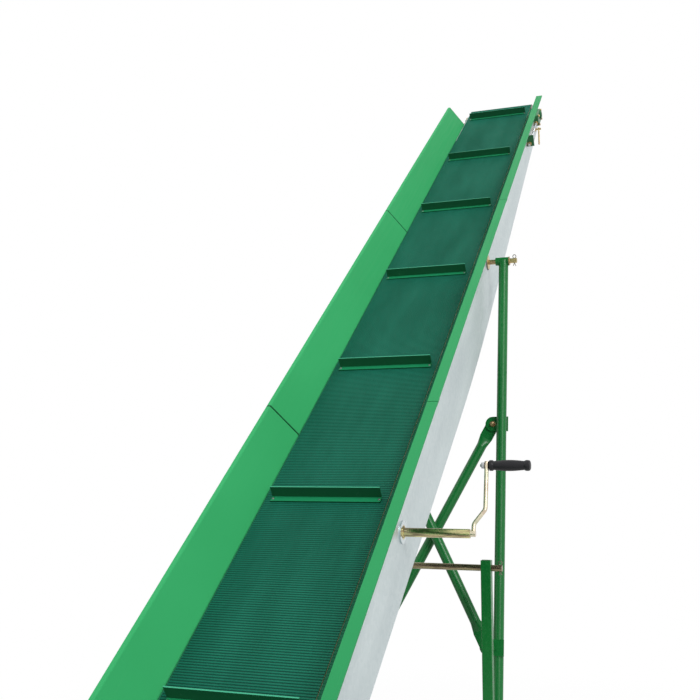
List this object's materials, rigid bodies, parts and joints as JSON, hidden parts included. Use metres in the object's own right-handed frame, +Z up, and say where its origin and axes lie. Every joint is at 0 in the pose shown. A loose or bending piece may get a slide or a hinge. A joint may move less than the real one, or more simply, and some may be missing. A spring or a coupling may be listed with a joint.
{
  "type": "firewood conveyor",
  "caption": "Inclined firewood conveyor: ribbed belt with steel flights in a trough with flared side boards, on a wheeled undercarriage that swings to set the height, with a hand-cranked winch.",
  "frame": {"origin": "on the ground, at the centre of the rectangle of floor bolt holes in the tail stand's feet, on the belt's centreline", "axes": "+X level, from the tail towards the head of the conveyor; +Y to the left seen from the tail; +Z up"},
  "size_m": [4.7227, 1.05, 3.788],
  "materials": {
    "board_green": "satin",
    "frame_green": "satin",
    "flight_green": "satin",
    "galvanised": "satin",
    "belt_rubber": "matte",
    "bright_steel": "satin",
    "zinc_steel": "satin",
    "cast_grey": "matte",
    "gearbox_alloy": "satin",
    "motor_alloy": "satin",
    "switch_grey": "matte",
    "inlet_red": "gloss",
    "grip_black": "matte",
    "tyre_black": "matte",
    "rim_silver": "satin"
  },
  "bodies": {
    "boom": {"bearing_blocks": "frame_green", "belt": "belt_rubber", "board_left_1": "board_green", "board_left_2": "board_green", "board_left_3": "board_green", "board_right_1": "board_green", "board_right_2": "board_green", "board_right_3": "board_green", "clamp_screws": "zinc_steel", "cross_ties": "galvanised", "feed_hood": "board_green", "flights": "flight_green", "gearbox": "gearbox_alloy", "head_drum": "bright_steel", "hinge_pins": "zinc_steel", "motor": "motor_alloy", "plug_inlet": "inlet_red", "return_rails": "galvanised", "slide_bed": "galvanised", "stand_bar": "frame_green", "stand_legs": "frame_green", "switch_box": "switch_grey", "tail_bearings": "cast_grey", "tail_drum": "bright_steel", "take_up_lugs": "frame_green", "tension_screws": "zinc_steel", "wall_left": "galvanised", "wall_right": "galvanised", "winch_sleeve": "zinc_steel"},
    "undercarriage": {"axle": "frame_green", "brace_front": "frame_green", "brace_rear": "frame_green", "post_left": "frame_green", "post_right": "frame_green", "rest_shaft": "bright_steel", "strut_left": "frame_green", "strut_right": "frame_green"},
    "wheel_left": {"rim_left": "rim_silver", "tyre_left": "tyre_black"},
    "wheel_right": {"rim_right": "rim_silver", "tyre_right": "tyre_black"},
    "crank": {"crank_arm": "zinc_steel", "crank_grip": "grip_black"}
  },
  "joints": [
    {"name": "undercarriage_swing", "type": "hinge", "parent": "boom", "child": "undercarriage", "pos_m": [2.32917, 0, 2.3905], "axis": [0, 1, 0], "range_deg": [-100, 15]},
    {"name": "wheel_left_turn", "type": "hinge", "parent": "undercarriage", "child": "wheel_left", "pos_m": [1.91416, 0.39, 0.24], "axis": [0, 1, 0], "continuous": true},
    {"name": "wheel_right_turn", "type": "hinge", "parent": "undercarriage", "child": "wheel_right", "pos_m": [1.91416, -0.39, 0.24], "axis": [0, 1, 0], "continuous": true},
    {"name": "crank_turn", "type": "hinge", "parent": "boom", "child": "crank", "pos_m": [0.89862, -0.42, 1.26805], "axis": [0, 1, 0], "continuous": true}
  ]
}
